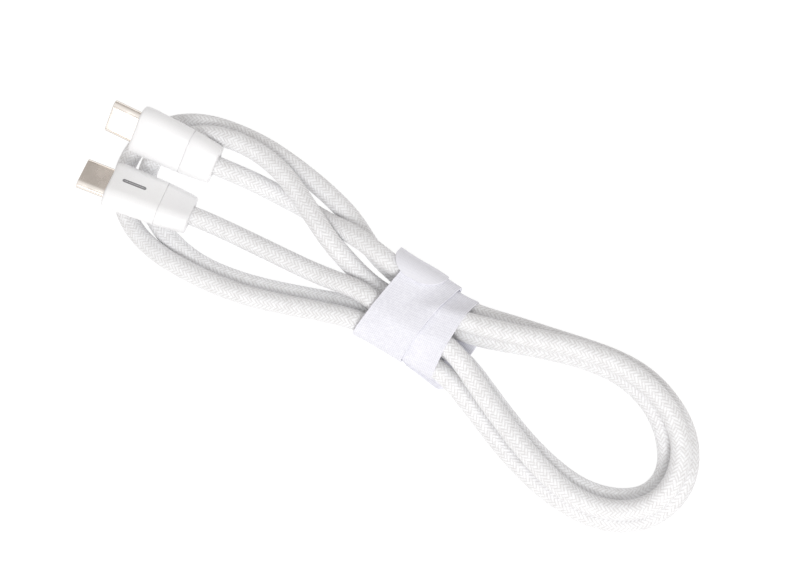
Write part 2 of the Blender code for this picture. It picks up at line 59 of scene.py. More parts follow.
# ---- cable -----------------------------------------------------------------
CORD_D = 4.4
CORD_PITCH = CORD_D + 0.3
STRAP_LIFT = 2.8
LIFT_FLAT = 9.0
LIFT_END = 26.0
PATH_STEP = 2.0
SETTLE_ROUNDS = 400
FIRM_ROUNDS = 60
PUSH_SHARE, SPREAD_SHARE, RETURN_SHARE = 0.45, 0.5, 0.004
NEXT_POINTS = 6
FLOOR_GAP = 0.1
FIXED_ENDS = 4
PATH_EASE = 3
PLUG_REACH = (-6.8, -3.0, 0.3, 2.2)
SHIFT = np.array((6.445, 0.645, -0.1))
YARNS_ROUND = 14
YARN_STEP = 1.0
PER_YARN = 4
BRAID_R = 2.22
BRAID_RELIEF = 0.1
WEAVE_START = 0.125

# ---- plug ------------------------------------------------------------------
SHELL_W, SHELL_T, SHELL_OUT, SHELL_IN, SHELL_WALL = 8.25, 2.4, 6.65, 4.0, 0.3
MOUTH_GAP = 0.16
BODY_W, BODY_T, FRONT_LEN = 12.2, 6.3, 12.6
SEAM = 0.07
COLLAR_END = 20.0
MARK_SIZE, MARK_X = (5.8, 0.9), -5.6

# ---- strap -----------------------------------------------------------------
STRAP_W = 12.2
STRAP_T = 0.45
RIB = 0.42
STRAP_SPAN = 18.0
STRAP_EASE = 5
STRAP_LOWEST = 0.12
BAND_STEPS, TAB_STEPS = 200, 60
INNER_REACH = 2.36
OUTER_REACH = INNER_REACH + STRAP_T + 0.2
INNER_TURN = (4.0, 0.08)
OUTER_TURN = (-2.3, 0.22)
TAB_X, TAB_SLANT = -3.4, 0.0
TAB_REACH = OUTER_REACH + STRAP_T + 0.05
TAB_ROOT_DEG, TAB_TIP_Y, TAB_ROUND = 4, 7.0, 4.2
ROOT_BULGE = 0.4
BULGE_FROM_DEG, BULGE_FULL_DEG, BULGE_FADE_DEG, BULGE_END_DEG = -60, -5, 4, 24
TAIL_SIZE, TAIL_ROUND, TAIL_TURN_DEG = (STRAP_W, 14.0), 2.0, -10.0
TAIL_MID = (7.23, -3.88, STRAP_LOWEST)

# Plug poses: body front centre, body rear centre, roll in degrees.
PLUG_A = ((-76.9, 9.7, 12.0), (-57.5, 10.4, 7.6), -36.0)
PLUG_B = ((-76.7, -4.5, 11.2), (-58.2, -2.4, 6.7), 33.0)

# Cable centre line from plug A to plug B, drawn turn by turn.
ROUTE = (
    (-53, 10.8, 6.3), (-48.5, 11.2, 4.7), (-44, 11.2, 3.2), (-39, 11.2, 2.4),
    (-34, 11.1, 2.3), (-29.5, 10.6, 3.1), (-24.5, 10.6, 5.4), (-19.5, 10.2, 7.1),
    (-14, 9.0, 7.2), (-8, 7.8, 7.0), (0, 7.0, 4.8), (8, 6.4, 2.6),
    (13, 6.9, 2.3), (20, 8.4, 2.3), (31, 10.4, 2.3), (39, 11.7, 2.3),
    (46, 12.2, 2.3), (52, 11.4, 2.3), (57, 9.3, 2.3), (61, 6.8, 2.3),
    (64.3, 3.4, 3.0), (66.8, -0.6, 4.2), (68.4, -5, 4.9), (68.2, -9.4, 4.4),
    (66.4, -13.8, 3.2), (63.5, -17.2, 2.3), (59, -19.8, 2.3), (53.5, -21, 2.3),
    (47.5, -20.9, 2.3), (41, -19.8, 2.3), (33, -17.2, 2.3), (25, -13.7, 2.3),
    (18, -10.4, 2.3), (12, -7.9, 2.5), (6, -6.9, 3.2), (0, -6.2, 4.6),
    (-7, -5.8, 6.2), (-12, -6.2, 6.4), (-19, -7.9, 6.4), (-28, -10.4, 6.4),
    (-37, -12.6, 6.4), (-46, -13.5, 6.3), (-54, -13.3, 5.6), (-62, -12.4, 3.8),
    (-69, -10.8, 2.5), (-74, -7.5, 2.3), (-77.3, -3.2, 2.3), (-78.6, 2, 2.3),
    (-78, 7.5, 2.3), (-75, 12.6, 2.3), (-70, 16.4, 2.3), (-63.5, 18.6, 2.3),
    (-57, 19.4, 2.3), (-50, 19.4, 2.3), (-43, 18.4, 2.3), (-35, 16.6, 2.3),
    (-27, 13.8, 2.3), (-20, 10.2, 2.3), (-14, 7.7, 2.3), (-8, 6.4, 2.3),
    (0, 3.6, 2.3), (7, 2.3, 2.3), (13, 2.7, 2.5), (20, 4.7, 4.2),
    (28, 7, 6.2), (37, 9.1, 6.4), (44, 9.8, 6.3), (50, 9.2, 6), (55, 7.5, 5.6),
    (59.4, 4.8, 4.8), (62.6, 1.6, 3.6), (64.7, -2.4, 2.6), (65.0, -6.6, 2.3),
    (63.2, -10.8, 2.3), (59.4, -13.8, 2.3), (54.5, -15.6, 2.3), (49, -16.3, 2.3),
    (42, -15.3, 2.3), (35, -13.3, 2.3), (28, -10.4, 2.3), (21, -6.9, 2.3),
    (15, -3.9, 2.3), (10, -2.6, 2.3), (0, -1.9, 2.3), (-8, -2.3, 2.3),
    (-15, -3.5, 2.3), (-22, -5.6, 2.3), (-30, -8.0, 2.3), (-38, -10.1, 2.3),
    (-46, -11.5, 2.3), (-53, -11.8, 2.3), (-59.5, -10.8, 2.3), (-65.5, -8, 2.3),
    (-70, -4.2, 2.3), (-73, 0.4, 2.3), (-73.7, 5.4, 2.4), (-71.7, 10, 3.2),
    (-67.8, 13.9, 4.6), (-62.6, 16.6, 5.8), (-56, 17.8, 6.5), (-49, 17.6, 6.9),
    (-42, 15.9, 7.2), (-35.4, 12.9, 7.6), (-30, 10.2, 8.2), (-25, 7.8, 7.8),
    (-20, 5.4, 5.6), (-15, 3.4, 3.4), (-9, 2.0, 2.4), (0, 2.5, 6.2),
    (8, 3.8, 6.6), (14, 5, 7.6), (20, 6.3, 9.6), (28, 8.4, 10.8),
    (36, 10.2, 10.9), (44, 11.1, 10.8), (51, 10.5, 10.6), (57, 8.5, 10.3),
    (61.5, 5.6, 9.8), (64.8, 2, 9.2), (66.6, -2.6, 9.3), (66.8, -7.4, 9.0),
    (65.2, -11.8, 7.9), (62, -15.2, 6.9), (57.5, -17.6, 6.4), (52, -18.7, 6.4),
    (46, -18.2, 6.5), (40, -16.4, 6.8), (33, -13.6, 6.9), (26, -10.2, 6.9),
    (19, -6.5, 6.9), (13.5, -3.3, 6.8), (8, -1.3, 6.6), (0, -2, 6.8),
    (-7, -0.6, 7), (-12, 0.4, 7.1), (-17, 0, 7), (-24, -0.8, 6.6),
    (-32, -1.2, 6.2), (-40, -1.4, 5.6), (-47, -1.6, 5.2), (-53.5, -1.9, 5.6),
)


# ---- camera ----------------------------------------------------------------
def make_camera():
    """Camera high over the hank, which runs downwards to the right."""
    elevation, azimuth = math.radians(CAMERA_ELEVATION), math.radians(CAMERA_AZIMUTH)
    roll = math.radians(CAMERA_ROLL)
    flat = math.cos(elevation)
    back = Vector((flat * math.cos(azimuth), flat * math.sin(azimuth), math.sin(elevation)))
    ahead = (Vector((1, 0, 0)) - back * back.x).normalized()
    across = back.cross(ahead)
    right = math.cos(roll) * ahead + math.sin(roll) * across
    up = -math.sin(roll) * ahead + math.cos(roll) * across
    aim = Vector(CAMERA_AIM + SHIFT) * MM
    data = bpy.data.cameras.new("camera")
    data.sensor_width = CAMERA_SENSOR
    data.lens = CAMERA_LENS
    data.clip_start = CAMERA_NEAR
    camera = bpy.data.objects.new("camera", data)
    turn = Matrix((right, up, back)).transposed().to_4x4()
    camera.matrix_world = Matrix.Translation(aim + back * CAMERA_AWAY) @ turn
    bpy.context.scene.collection.objects.link(camera)
    bpy.context.scene.camera = camera


# ---- cable centre line, as the CAD source makes it --------------------------
def blend(a, b, ta, tb, t):
    return a * (tb - t) / (tb - ta) + b * (t - ta) / (tb - ta)


def resample(path, step):
    length = np.concatenate([[0], np.cumsum(np.linalg.norm(np.diff(path, axis=0), axis=1))])
    count = max(2, int(round(length[-1] / step)) + 1)
    marks = np.linspace(0, length[-1], count)
    return np.stack([np.interp(marks, length, path[:, k]) for k in range(3)], axis=1)


def smooth_path(points, step):
    """Centripetal spline through the points, resampled at an even step."""
    p = np.array(points, float)
    p = np.vstack([2 * p[0] - p[1], p, 2 * p[-1] - p[-2]])
    out = []
    for i in range(1, len(p) - 2):
        t = [0.0]
        for a, b in ((i - 1, i), (i, i + 1), (i + 1, i + 2)):
            t.append(t[-1] + max(np.linalg.norm(p[b] - p[a]), 1e-6) ** 0.5)
        count = max(2, int(np.linalg.norm(p[i + 1] - p[i]) / (step * 0.25)))
        for u in np.linspace(t[1], t[2], count, endpoint=False):
            a1 = blend(p[i - 1], p[i], t[0], t[1], u)
            a2 = blend(p[i], p[i + 1], t[1], t[2], u)
            a3 = blend(p[i + 1], p[i + 2], t[2], t[3], u)
            b1 = blend(a1, a2, t[0], t[2], u)
            b2 = blend(a2, a3, t[1], t[3], u)
            out.append(blend(b1, b2, t[1], t[2], u))
    out.append(p[-2])
    return resample(np.array(out), step)


def strap_rise(x):
    """Height of the strap layers under the cable at station x."""
    t = np.clip((LIFT_END - np.abs(x)) / (LIFT_END - LIFT_FLAT), 0, 1)
    return STRAP_LIFT * t * t * (3 - 2 * t)


def settle(path):
    """Push strands that lie closer than the pitch apart, spreading each push along."""
    start = path.copy()
    count = len(path)
    index = np.arange(count)
    apart = np.abs(index[:, None] - index[None, :]) > NEXT_POINTS
    free = np.ones(count)
    free[:FIXED_ENDS] = 0
    free[-FIXED_ENDS:] = 0
    for turn in range(SETTLE_ROUNDS):
        delta = path[:, None, :] - path[None, :, :]
        dist = np.linalg.norm(delta, axis=2)
        near = apart & (dist < CORD_PITCH)
        push = np.where(near, (CORD_PITCH - dist) / np.maximum(dist, 1e-6), 0)
        move = (delta * push[:, :, None]).sum(axis=1)
        hits = np.maximum(near.sum(axis=1), 1)
        path = path + (PUSH_SHARE * move / hits[:, None]) * free[:, None]
        if turn < SETTLE_ROUNDS - FIRM_ROUNDS:
            offset = path - start
            soft = np.zeros_like(path)
            soft[1:-1] = 0.5 * (offset[:-2] + offset[2:]) - offset[1:-1]
            path = path + (SPREAD_SHARE * soft - RETURN_SHARE * offset) * free[:, None]
        low = CORD_D / 2 + FLOOR_GAP + strap_rise(path[:, 0])
        path[:, 2] = np.maximum(path[:, 2], low)
    return path


def plug_exit(plug, reach):
    front, rear = np.array(plug[0], float), np.array(plug[1], float)
    axis = (rear - front) / np.linalg.norm(rear - front)
    return [rear + axis * d for d in reach]


def cable_path():
    head = plug_exit(PLUG_A, PLUG_REACH)
    tail = plug_exit(PLUG_B, PLUG_REACH[::-1])
    lifted = [(x, y, z + float(strap_rise(x))) for x, y, z in ROUTE]
    return settle(smooth_path(head + lifted + tail, PATH_STEP))


def eased(path, rounds):
    """The same line with its small kinks taken out."""
    for _ in range(rounds):
        path[2:-2] = 0.25 * path[1:-3] + 0.5 * path[2:-2] + 0.25 * path[3:-1]
    return path


def cross_frames(path):
    """Two cross directions carried along the path without twist."""
    tangent = np.gradient(path, axis=0)
    tangent /= np.linalg.norm(tangent, axis=1)[:, None]
    side = np.cross(tangent[0], (0, 0, 1.0))
    sides = []
    for t in tangent:
        side = side - t * (side @ t)
        side = side / np.linalg.norm(side)
        sides.append(side)
    sides = np.array(sides)
    return sides, np.cross(tangent, sides)


# ---- meshes ----------------------------------------------------------------
def grid_mesh(name, points, uv, wrap_rows=False, wrap_cols=False, capped=False):
    """Quad mesh over a grid of points in millimetres; uv has one more row or column where it wraps."""
    rows, cols = points.shape[:2]
    index = np.arange(rows * cols).reshape(rows, cols)
    if wrap_rows:
        index = np.vstack([index, index[:1]])
    if wrap_cols:
        index = np.hstack([index, index[:, :1]])
    corners = lambda g: np.stack([g[:-1, :-1], g[:-1, 1:], g[1:, 1:], g[1:, :-1]], axis=2)
    quads = corners(index).reshape(-1, 4)
    mesh = bpy.data.meshes.new(name)
    mesh.vertices.add(rows * cols)
    mesh.vertices.foreach_set("co", (points.reshape(-1, 3) * MM).astype(np.float32).ravel())
    mesh.loops.add(quads.size)
    mesh.loops.foreach_set("vertex_index", quads.astype(np.int32).ravel())
    mesh.polygons.add(len(quads))
    mesh.polygons.foreach_set("loop_start", np.arange(0, quads.size, 4, dtype=np.int32))
    layer = mesh.uv_layers.new(name="weave")
    layer.data.foreach_set("uv", corners(uv).reshape(-1, 2).astype(np.float32).ravel())
    mesh.update(calc_edges=True)
    mesh.validate()
    if capped:
        close_ends(mesh)
    mesh.shade_smooth()
    return mesh


def close_ends(mesh):
    shape = bmesh.new()
    shape.from_mesh(mesh)
    bmesh.ops.holes_fill(shape, edges=[e for e in shape.edges if e.is_boundary])
    shape.to_mesh(mesh)
    shape.free()


def add_piece(name, mesh, material, replaced, body=BODY, sharp=None):
    obj = bpy.data.objects.new(name, mesh)
    bpy.context.scene.collection.objects.link(obj)
    mesh.materials.append(material)
    if sharp is not None:
        mesh.set_sharp_from_angle(angle=math.radians(sharp))
    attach(obj, body)
    if replaced:
        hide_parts(*replaced)
    return obj


def uv_grid(u, v):
    return np.stack(np.meshgrid(u, v), axis=2)


# ---- shader nodes ----------------------------------------------------------
class Shader:
    """Small helper that adds nodes to one material."""

    def __init__(self, name, rough, metal=0.0):
        self.mat = bpy.data.materials.new(name)
        self.mat.use_nodes = True
        self.tree = self.mat.node_tree
        self.bsdf = self.tree.nodes["Principled BSDF"]
        self.bsdf.inputs["Roughness"].default_value = rough
        self.bsdf.inputs["Metallic"].default_value = metal

    def node(self, kind, **facts):
        made = self.tree.nodes.new(kind)
        for key, value in facts.items():
            setattr(made, key, value)
        return made

    def join(self, source, target):
        self.tree.links.new(source, target)

    def math(self, operation, a, b=None):
        made = self.node("ShaderNodeMath", operation=operation)
        for socket, value in zip(made.inputs, (a, b)):
            if isinstance(value, (int, float)):
                socket.default_value = value
            elif value is not None:
                self.join(value, socket)
        return made.outputs[0]

    def ramp(self, factor, low, high, dark, light):
        made = self.node("ShaderNodeValToRGB")
        first, last = made.color_ramp.elements
        first.position, last.position = low, high
        first.color, last.color = (*dark, 1), (*light, 1)
        self.join(factor, made.inputs["Fac"])
        return made.outputs["Color"]

    def noise(self, scale, detail=2.0):
        made = self.node("ShaderNodeTexNoise")
        made.inputs["Scale"].default_value = scale
        made.inputs["Detail"].default_value = detail
        self.join(self.node("ShaderNodeTexCoord").outputs["Object"], made.inputs["Vector"])
        return made.outputs["Fac"]

    def bump(self, height, distance, strength):
        made = self.node("ShaderNodeBump")
        made.inputs["Distance"].default_value = distance
        made.inputs["Strength"].default_value = strength
        self.join(height, made.inputs["Height"])
        self.join(made.outputs["Normal"], self.bsdf.inputs["Normal"])

    def colour(self, source):
        self.join(source, self.bsdf.inputs["Base Color"])

    def weave_uv(self):
        uv = self.node("ShaderNodeUVMap", uv_map="weave")
        split = self.node("ShaderNodeSeparateXYZ")
        self.join(uv.outputs["UV"], split.inputs["Vector"])
        return split.outputs["X"], split.outputs["Y"]


def braid_material():
    """Two sets of yarns, each passing over two and under two of the other; the colour darkens into the
    grooves between yarns as painted shade.
    """
    s = Shader("braid_weave", 0.62)
    u, v = s.weave_uv()
    a, b = s.math("ADD", u, v), s.math("SUBTRACT", u, v)
    fa, fb = s.math("FRACT", a), s.math("FRACT", b)
    cell = s.math("ADD", s.math("FLOOR", a), s.math("FLOOR", b))
    over = s.math("LESS_THAN", s.math("FLOORED_MODULO", cell, 4.0), 2.0)
    pick = lambda x, y: s.math("ADD", s.math("MULTIPLY", over, x),
                               s.math("MULTIPLY", s.math("SUBTRACT", 1.0, over), y))
    across = pick(fa, fb)
    edge = s.math("ABSOLUTE", s.math("SUBTRACT", s.math("MULTIPLY", across, 2.0), 1.0))
    crown_and_groove_shade = s.math("SUBTRACT", 1.0, s.math("POWER", edge, 1.5))
    place = s.node("ShaderNodeCombineXYZ")
    for socket, value in zip(place.inputs, (s.math("FLOOR", a), s.math("FLOOR", b))):
        s.join(value, socket)
    each = s.node("ShaderNodeTexWhiteNoise", noise_dimensions="2D")
    s.join(place.outputs["Vector"], each.inputs["Vector"])
    strands = s.math("SINE", s.math("MULTIPLY", across, 6 * math.pi))
    mottle = s.math("ADD", s.math("MULTIPLY", each.outputs["Value"], 0.3),
                    s.math("MULTIPLY", strands, 0.06))
    tone = s.math("ADD", s.math("MULTIPLY", crown_and_groove_shade, 0.7), mottle)
    # Painted shade: the dark end of the ramp colours the grooves between yarns, mixed with each yarn's
    # own random tone.
    s.colour(s.ramp(tone, 0.1, 0.9, (0.66, 0.65, 0.65), (0.91, 0.915, 0.93)))
    s.bsdf.inputs["Sheen Weight"].default_value = 0.25
    s.bsdf.inputs["Sheen Roughness"].default_value = 0.5
    s.bump(s.math("ADD", crown_and_groove_shade, s.math("MULTIPLY", strands, 0.2)), 0.00005, 0.7)
    return s.mat


def strap_material(name, light, dark, depth):
    """Fine ribs along the strip, crossed by softer weft lines, with a brushed pile."""
    s = Shader(name, 0.8)
    u, v = s.weave_uv()
    rib = s.math("SINE", s.math("MULTIPLY", u, 2 * math.pi / RIB))
    weft = s.math("SINE", s.math("MULTIPLY", v, 2 * math.pi / (RIB * 1.3)))
    fuzz = s.noise(1500.0, 4.0)
    cloud = s.noise(160.0, 3.0)
    threads = s.math("ADD", s.math("MULTIPLY", rib, 0.12), s.math("MULTIPLY", weft, 0.08))
    pile = s.math("ADD", s.math("MULTIPLY", fuzz, 0.65), s.math("MULTIPLY", cloud, 0.35))
    tone = s.math("ADD", threads, pile)
    s.colour(s.ramp(tone, 0.2, 0.75, dark, light))
    s.bsdf.inputs["Sheen Weight"].default_value = 0.35
    s.bsdf.inputs["Sheen Roughness"].default_value = 0.4
    s.bump(tone, depth, 0.7)
    return s.mat


def plastic_material(name, colour, rough, shade):
    s = Shader(name, rough)
    cloud = s.noise(90.0, 3.0)
    s.colour(s.ramp(cloud, 0.35, 0.65, shade, colour))
    grain = s.noise(5200.0, 2.0)
    lowest, highest = rough - 0.04, rough + 0.05
    s.join(s.ramp(grain, 0.3, 0.7, (lowest,) * 3, (highest,) * 3), s.bsdf.inputs["Roughness"])
    s.bsdf.inputs["Specular IOR Level"].default_value = 0.5
    s.bump(grain, 0.000004, 0.4)
    return s.mat


def metal_material(name, colour, shade, rough):
    """Bead-blasted metal with faint drawing lines, and a painted shade that darkens its rim where the
    surface turns away from view.
    """
    s = Shader(name, rough, 1.0)
    lines = s.noise(350.0, 2.0)
    # Painted shade: the rim's facing value mixes in a darker copy of the colour towards grazing edges.
    rim = s.node("ShaderNodeLayerWeight")
    rim.inputs["Blend"].default_value = 0.5
    mix = s.node("ShaderNodeMix", data_type="RGBA")
    s.join(s.ramp(rim.outputs["Facing"], 0.5, 0.8, (0, 0, 0), (1, 1, 1)), mix.inputs["Factor"])
    s.join(s.ramp(lines, 0.3, 0.7, shade, colour), mix.inputs["A"])
    mix.inputs["B"].default_value = (*[0.35 * c * c for c in colour], 1)
    s.colour(mix.outputs["Result"])
    s.join(s.ramp(lines, 0.3, 0.7, (rough - 0.05,) * 3, (rough + 0.06,) * 3), s.bsdf.inputs["Roughness"])
    s.bump(s.noise(6000.0, 2.0), 0.000001, 0.3)
    return s.mat


# ---- cord ------------------------------------------------------------------
def crown_height(u, v):
    """Height of the woven surface, 0 between the yarns and 1 on their backs."""
    a, b = u + v, u - v
    over = (np.floor(a) + np.floor(b)) % 4 < 2
    across = np.where(over, a, b) % 1.0
    return 1 - np.abs(2 * across - 1) ** 2


def build_cord(path, material):
    """Woven tube whose surface rises over every yarn."""
    line = resample(path, YARN_STEP / PER_YARN)
    side, up = cross_frames(line)
    around = PER_YARN * YARNS_ROUND
    angle = 2 * math.pi * np.arange(around) / around
    u, v = np.meshgrid(np.arange(around) / PER_YARN, np.arange(len(line)) / PER_YARN)
    radius = BRAID_R + BRAID_RELIEF * (crown_height(u + WEAVE_START, v) - 0.5)
    out = np.cos(angle)[None, :, None] * side[:, None, :] + np.sin(angle)[None, :, None] * up[:, None, :]
    points = line[:, None, :] + radius[:, :, None] * out
    uv = uv_grid(np.arange(around + 1) / PER_YARN + WEAVE_START, np.arange(len(line)) / PER_YARN)
    mesh = grid_mesh("braided_cord", points, uv, wrap_cols=True)
    return add_piece("braided_cord", mesh, material, ["braided_sleeve"])


# ---- plug ------------------------------------------------------------------
def plug_matrix(plug):
    """Place of a plug: +X out of its mouth, origin at the body's front face, in millimetres."""
    front, rear = Vector(plug[0]), Vector(plug[1])
    x = (front - rear).normalized()
    y = Vector((0, 0, 1)).cross(x).normalized()
    turn = Matrix((x, y, x.cross(y))).transposed().to_4x4()
    roll = Matrix.Rotation(math.radians(plug[2]), 4, "X")
    return np.array(Matrix.Translation(front + Vector(SHIFT)) @ turn @ roll)


def oval(width, thick, count=96):
    """Flat-sided oval with evenly spread points, as (y, z) rows."""
    r, flat = thick / 2, (width - thick) / 2
    straight, arc = 2 * flat, math.pi * r
    rows = []
    for k in range(count):
        s = (k / count) * 2 * (straight + arc)
        end = 1 if s < straight + arc else -1
        s -= 0 if end == 1 else straight + arc
        if s < arc:
            a = -math.pi / 2 + s / r
            rows.append((end * (flat + r * math.cos(a)), end * r * math.sin(a)))
        else:
            rows.append((end * (flat - (s - arc)), end * r))
    return np.array(rows)


def oval_piece(name, place, stations, material, replaced):
    """Hollow piece through a closed round of (x, width, thickness) stations."""
    rings = np.array([[(x, y, z) for y, z in oval(w, t)] for x, w, t in stations])
    world = rings @ place[:3, :3].T + place[:3, 3]
    uv = uv_grid(np.linspace(0, 1, rings.shape[1] + 1), np.linspace(0, 1, len(rings) + 1))
    mesh = grid_mesh(name, world, uv, wrap_rows=True, wrap_cols=True)
    return add_piece(name, mesh, material, replaced, sharp=32)


def rounded(x, width, thick, radius, towards, steps=6):
    """Stations of a rounded edge that starts at face x and ends radius further along."""
    out = []
    for k in range(steps + 1):
        a = math.pi / 2 * k / steps
        inset = 2 * radius * (1 - math.sin(a))
        out.append((x + towards * radius * (1 - math.cos(a)), width - inset, thick - inset))
    return out


def front_body():
    """Front housing: round its outside from the mouth, then back along its pocket."""
    mouth_w, mouth_t = SHELL_W + MOUTH_GAP, SHELL_T + MOUTH_GAP
    rows = [(-1.9, mouth_w, mouth_t), (-0.12, mouth_w, mouth_t), (0.0, mouth_w + 0.24, mouth_t + 0.24)]
    rows += rounded(0.0, BODY_W - 0.25, BODY_T - 0.2, 0.75, -1)
    rows += [(-1.6, BODY_W, BODY_T), (-3.0, BODY_W, BODY_T), (-7.5, BODY_W - 0.35, BODY_T - 0.04)]
    rows += rounded(-FRONT_LEN, 11.42, 6.2, 0.1, 1, 3)[::-1]
    rows += [(-FRONT_LEN, 11.1, 5.9), (-FRONT_LEN + 1, 11.1, 5.9), (-FRONT_LEN + 1.1, 10.4, 4.9)]
    return rows + [(-4.2, 10.6, 4.9), (-4.1, 8.9, 3.0), (-2.0, 8.9, 3.0)]


def rear_body():
    """Rear collar: from its spigot over the seam, round its outside to the cord's mouth."""
    x = -FRONT_LEN - SEAM
    rows = [(x + 0.8, 10.35, 4.8), (x + 0.8, 11.0, 5.8), (x, 11.0, 5.8)]
    rows += rounded(x, 11.36, 6.18, 0.1, -1, 3)
    rows += [(x - 2.5, 10.95, 6.12), (x - 5.2, 10.3, 6.02)]
    rows += rounded(-COLLAR_END, 9.75, 5.9, 0.55, 1)[::-1]
    rows += [(-COLLAR_END, 5.6, 5.4), (-COLLAR_END + 0.25, 5.05, 4.9), (x - 3.6, 5.05, 4.9)]
    return rows + [(x - 3.4, 7.2, 4.8), (x, 7.2, 4.8)]


def metal_shell():
    """Metal shell: outside from its rounded lip to its hidden end, and back along its inside."""
    inner_w, inner_t = SHELL_W - 2 * SHELL_WALL, SHELL_T - 2 * SHELL_WALL
    rows = rounded(SHELL_OUT, SHELL_W, SHELL_T, 0.16, -1, 4)
    rows += [(3.0, SHELL_W, SHELL_T), (-SHELL_IN, SHELL_W, SHELL_T), (-SHELL_IN, inner_w, inner_t)]
    return rows + [(3.0, inner_w, inner_t), (SHELL_OUT - 0.1, inner_w, inner_t),
                   (SHELL_OUT, inner_w + 0.14, inner_t + 0.14)]


def build_plug(tag, plug, mats, marked):
    place = plug_matrix(plug)
    pieces = [
        oval_piece(tag + "_front_body", place, front_body(), mats["plastic"],
                   [tag + "_front_housing"]),
        oval_piece(tag + "_rear_body", place, rear_body(), mats["plastic"],
                   [tag + "_rear_collar"]),
        oval_piece(tag + "_metal_shell", place, metal_shell(), mats["steel"],
                   [tag + "_shell"]),
    ]
    if marked:
        pieces.append(build_mark(tag, place, mats["mark"]))
    return pieces


def build_mark(tag, place, material):
    """Plain rounded bar let into the broad face."""
    length, width = MARK_SIZE
    rows = []
    for z, less in ((2.9, 0.0), (3.15, 0.0), (3.17, 0.06), (3.17, 0.3), (3.17, 0.8)):
        ring = oval(length - less, width - less * 0.999, 48)
        rows.append([(MARK_X + a, b, z) for a, b in ring])
    points = np.array(rows) @ place[:3, :3].T + place[:3, 3]
    uv = uv_grid(np.linspace(0, 1, 49), np.linspace(0, 1, len(rows)))
    mesh = grid_mesh(tag + "_bar_mark", points, uv, wrap_cols=True)
    return add_piece(tag + "_bar_mark", mesh, material, [tag + "_mark_inlay"])


# ---- strap -----------------------------------------------------------------
def strap_strands(path):
    """Stretches of the cable that cross under the strap, each as (x, y, z) rows sorted by x."""
    under = np.flatnonzero(np.abs(path[:, 0]) < STRAP_SPAN)
    runs = np.split(under, np.flatnonzero(np.diff(under) > 1) + 1)
    return [path[run][np.argsort(path[run][:, 0])] for run in runs]


def centres_at(strands, x, slant):
    """Where each strand crosses the slanted plane whose station at y = 0 is x."""
    places = []
    for run in strands:
        y = np.interp(x, run[:, 0], run[:, 1])
        for _ in range(3):
            y = np.interp(x + slant * y, run[:, 0], run[:, 1])
        places.append((y, np.interp(x + slant * y, run[:, 0], run[:, 2])))
    return np.array(places)


def hull_point(centres, angle, reach):
    normal = np.array((math.cos(angle), math.sin(angle)))
    return centres[np.argmax(centres @ normal)] + reach * normal


def softened(line, rounds, closed):
    """The outline with its corners eased, as a woven strip lies."""
    for _ in range(rounds):
        before, after = np.roll(line, 1, axis=0), np.roll(line, -1, axis=0)
        eased_line = 0.25 * before + 0.5 * line + 0.25 * after
        if not closed:
            eased_line[0], eased_line[-1] = line[0], line[-1]
        line = eased_line
    return line


def even_line(points, count, closed):
    """The same outline in a given number of even steps, and its length."""
    if closed:
        points = np.vstack([points, points[:1]])
    length = np.concatenate([[0], np.cumsum(np.linalg.norm(np.diff(points, axis=0), axis=1))])
    marks = np.linspace(0, length[-1], count + 1 if closed else count)
    line = np.stack([np.interp(marks, length, points[:, k]) for k in range(2)], axis=1)
    return softened(line[:-1] if closed else line, STRAP_EASE, closed), length[-1]


def outward(line, closed):
    if closed:
        run = np.roll(line, -1, axis=0) - np.roll(line, 1, axis=0)
    else:
        run = np.gradient(line, axis=0)
    run /= np.linalg.norm(run, axis=1)[:, None]
    return np.stack([run[:, 1], -run[:, 0]], axis=1)


def strip_profile(width, thick, rib, relief):
    """Closed cross-section of the strip as (across, out) rows, ribbed on the outer face."""
    half, edge, count = width / 2, thick / 2, int(width / (rib / 4))
    top = []
    for k in range(count + 1):
        x = -half + edge * 0.6 + (width - edge * 1.2) * k / count
        top.append((x, thick + relief * math.sin(2 * math.pi * x / rib)))
    side = [(half - edge * 0.15, thick * 0.85), (half, thick * 0.5), (half - edge * 0.15, thick * 0.15)]
    low = [(-x, 0.0) for x, _ in top[:: 4]]
    return np.array(top + side + low + [(-x, thick - y) for x, y in side])


def wrapped_strip(outline_at, turn, scale, profile, closed):
    """Strip points around the bundle; outline_at gives the (y, z) line at each station across."""
    stations = np.linspace(-STRAP_W / 2, STRAP_W / 2, 7)
    lines = np.array([outline_at(turn[0] + a) for a in stations])
    normals = np.array([outward(line, closed) for line in lines])
    points = np.empty((lines.shape[1], len(profile), 3))
    for row in range(lines.shape[1]):
        a = profile[:, 0] * scale[row]
        y, z = (np.interp(a, stations, lines[:, row, k]) for k in range(2))
        ny, nz = (np.interp(a, stations, normals[:, row, k]) for k in range(2))
        y, z = y + ny * profile[:, 1], z + nz * profile[:, 1]
        points[row] = np.stack([turn[0] + turn[1] * y + a, y, np.maximum(z, STRAP_LOWEST)], axis=1)
    return points + SHIFT


def root_bulge(angle):
    """Share of the bulge that carries the tab's root, by angle in radians from level behind."""
    degrees = (math.degrees(angle) + 180) % 360 - 180
    rise = (degrees - BULGE_FROM_DEG) / (BULGE_FULL_DEG - BULGE_FROM_DEG)
    fall = (BULGE_END_DEG - degrees) / (BULGE_END_DEG - BULGE_FADE_DEG)
    share = min(max(rise, 0), max(fall, 0), 1)
    return share * share * (3 - 2 * share)


def build_band(name, strands, reach, turn, bulge, mats, replaced):
    lengths = []

    def outline_at(x):
        centres = centres_at(strands, x, turn[1])
        angles = np.linspace(0, 2 * math.pi, 145)[:-1]
        outline = [hull_point(centres, a, reach + bulge * root_bulge(a)) for a in angles]
        line, length = even_line(np.array(outline), BAND_STEPS, True)
        lengths.append(length)
        return line

    profile = strip_profile(STRAP_W, STRAP_T, RIB, 0.02)
    points = wrapped_strip(outline_at, turn, np.ones(BAND_STEPS), profile, True)
    length = sum(lengths) / len(lengths)
    uv = uv_grid(np.append(profile[:, 0], profile[0, 0]), np.linspace(0, length, BAND_STEPS + 1))
    mesh = grid_mesh(name, points, uv, wrap_rows=True, wrap_cols=True)
    band = add_piece(name, mesh, mats["strap"], [replaced])


